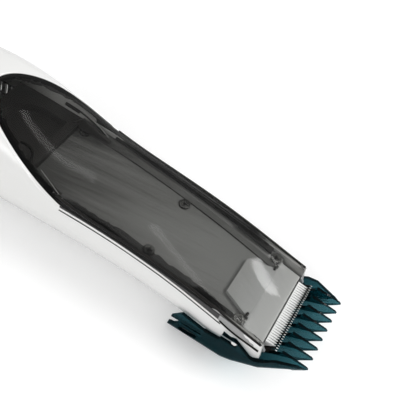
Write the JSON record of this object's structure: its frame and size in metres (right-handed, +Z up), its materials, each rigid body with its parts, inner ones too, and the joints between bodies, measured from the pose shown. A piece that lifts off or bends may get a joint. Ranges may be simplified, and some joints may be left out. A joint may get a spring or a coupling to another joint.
{
  "type": "hair clipper",
  "caption": "Cordless vacuum hair clipper with a toothed cutting head, a slip-on guide comb, a clear smoked lid over its hair chamber and a rear air filter.",
  "frame": {"origin": "on the surface it lies on, under the middle of the clipper with its comb fitted", "axes": "+X from the charging end towards the comb, +Y across, +Z up out of the chamber lid"},
  "size_m": [0.2084, 0.0516, 0.0511],
  "materials": {
    "housing_white": "gloss",
    "lid_smoke": "clear gloss",
    "chamber_grey": "satin",
    "seal_rubber": "matte",
    "filter_black": "satin",
    "filter_mesh": "woven",
    "head_ivory": "satin",
    "comb_teal": "clear gloss",
    "grip_rubber": "matte",
    "blade_steel": "ground",
    "cutter_white": "ceramic satin",
    "screw_black": "black oxide",
    "motor_steel": "plain",
    "inner_plastic": "satin",
    "cell_sleeve": "sleeved",
    "contact_nickel": "plated",
    "board_green": "varnished",
    "button_silver": "satin",
    "light_clear": "clear",
    "socket_black": "satin"
  },
  "bodies": {
    "housing": {"lower_housing": "housing_white", "upper_housing": "housing_white", "lid_seals": "seal_rubber", "chamber_tray": "chamber_grey", "filter_frame": "filter_black", "filter_mesh": "filter_mesh", "head_cover": "head_ivory", "motor_cradle": "inner_plastic", "battery_holder": "inner_plastic", "battery_contacts": "contact_nickel", "fan_case": "inner_plastic", "vent_grilles": "filter_black", "light_pipe": "light_clear", "rear_cap": "housing_white", "grip_pad": "grip_rubber", "blade_holder": "cutter_white", "blade_spring": "motor_steel", "tray_screws": "screw_black", "housing_screws": "screw_black", "fixed_blade": "blade_steel", "blade_screws": "screw_black", "drive_motor": "motor_steel", "lever_pin": "motor_steel", "battery_cells": "cell_sleeve", "fan_motor": "motor_steel", "circuit_board": "board_green", "key_switch": "socket_black", "charge_socket": "socket_black"},
    "lid": {"chamber_lid": "lid_smoke"},
    "comb": {"guide_comb": "comb_teal"},
    "cutter": {"moving_blade": "cutter_white", "cutter_yoke": "inner_plastic"},
    "lever": {"drive_lever": "inner_plastic"},
    "crank": {"motor_crank": "motor_steel"},
    "fan": {"fan_impeller": "inner_plastic"},
    "button": {"power_button": "button_silver"}
  },
  "joints": [
    {"name": "lid_lift", "type": "slide", "parent": "housing", "child": "lid", "axis": [0, 0, 1], "range_m": [0, 0.03]},
    {"name": "comb_pull", "type": "slide", "parent": "housing", "child": "comb", "axis": [1, 0, 0], "range_m": [0, 0.03]},
    {"name": "lever_rock", "type": "hinge", "parent": "housing", "child": "lever", "pos_m": [0.0578, 0, 0.0161], "axis": [0, 0, 1], "range_deg": [-3.94, 3.94]},
    {"name": "cutter_stroke", "type": "slide", "parent": "housing", "child": "cutter", "axis": [0, 1, 0], "range_m": [-0.00148, 0.00148]},
    {"name": "crank_spin", "type": "hinge", "parent": "housing", "child": "crank", "pos_m": [0.0338, 0, 0.0161], "axis": [1, 0, 0], "continuous": true},
    {"name": "fan_spin", "type": "hinge", "parent": "housing", "child": "fan", "pos_m": [-0.0752, 0, 0.019], "axis": [1, 0, 0], "continuous": true},
    {"name": "button_press", "type": "slide", "parent": "housing", "child": "button", "axis": [0, 0, -1], "range_m": [0, 0.0008], "stiffness_N_per_m": 1500, "springref_m": -0.0003}
  ],
  "couplings": [
    {"joint": "cutter_stroke", "follows": "lever_rock", "m_per_rad": 0.0212}
  ]
}
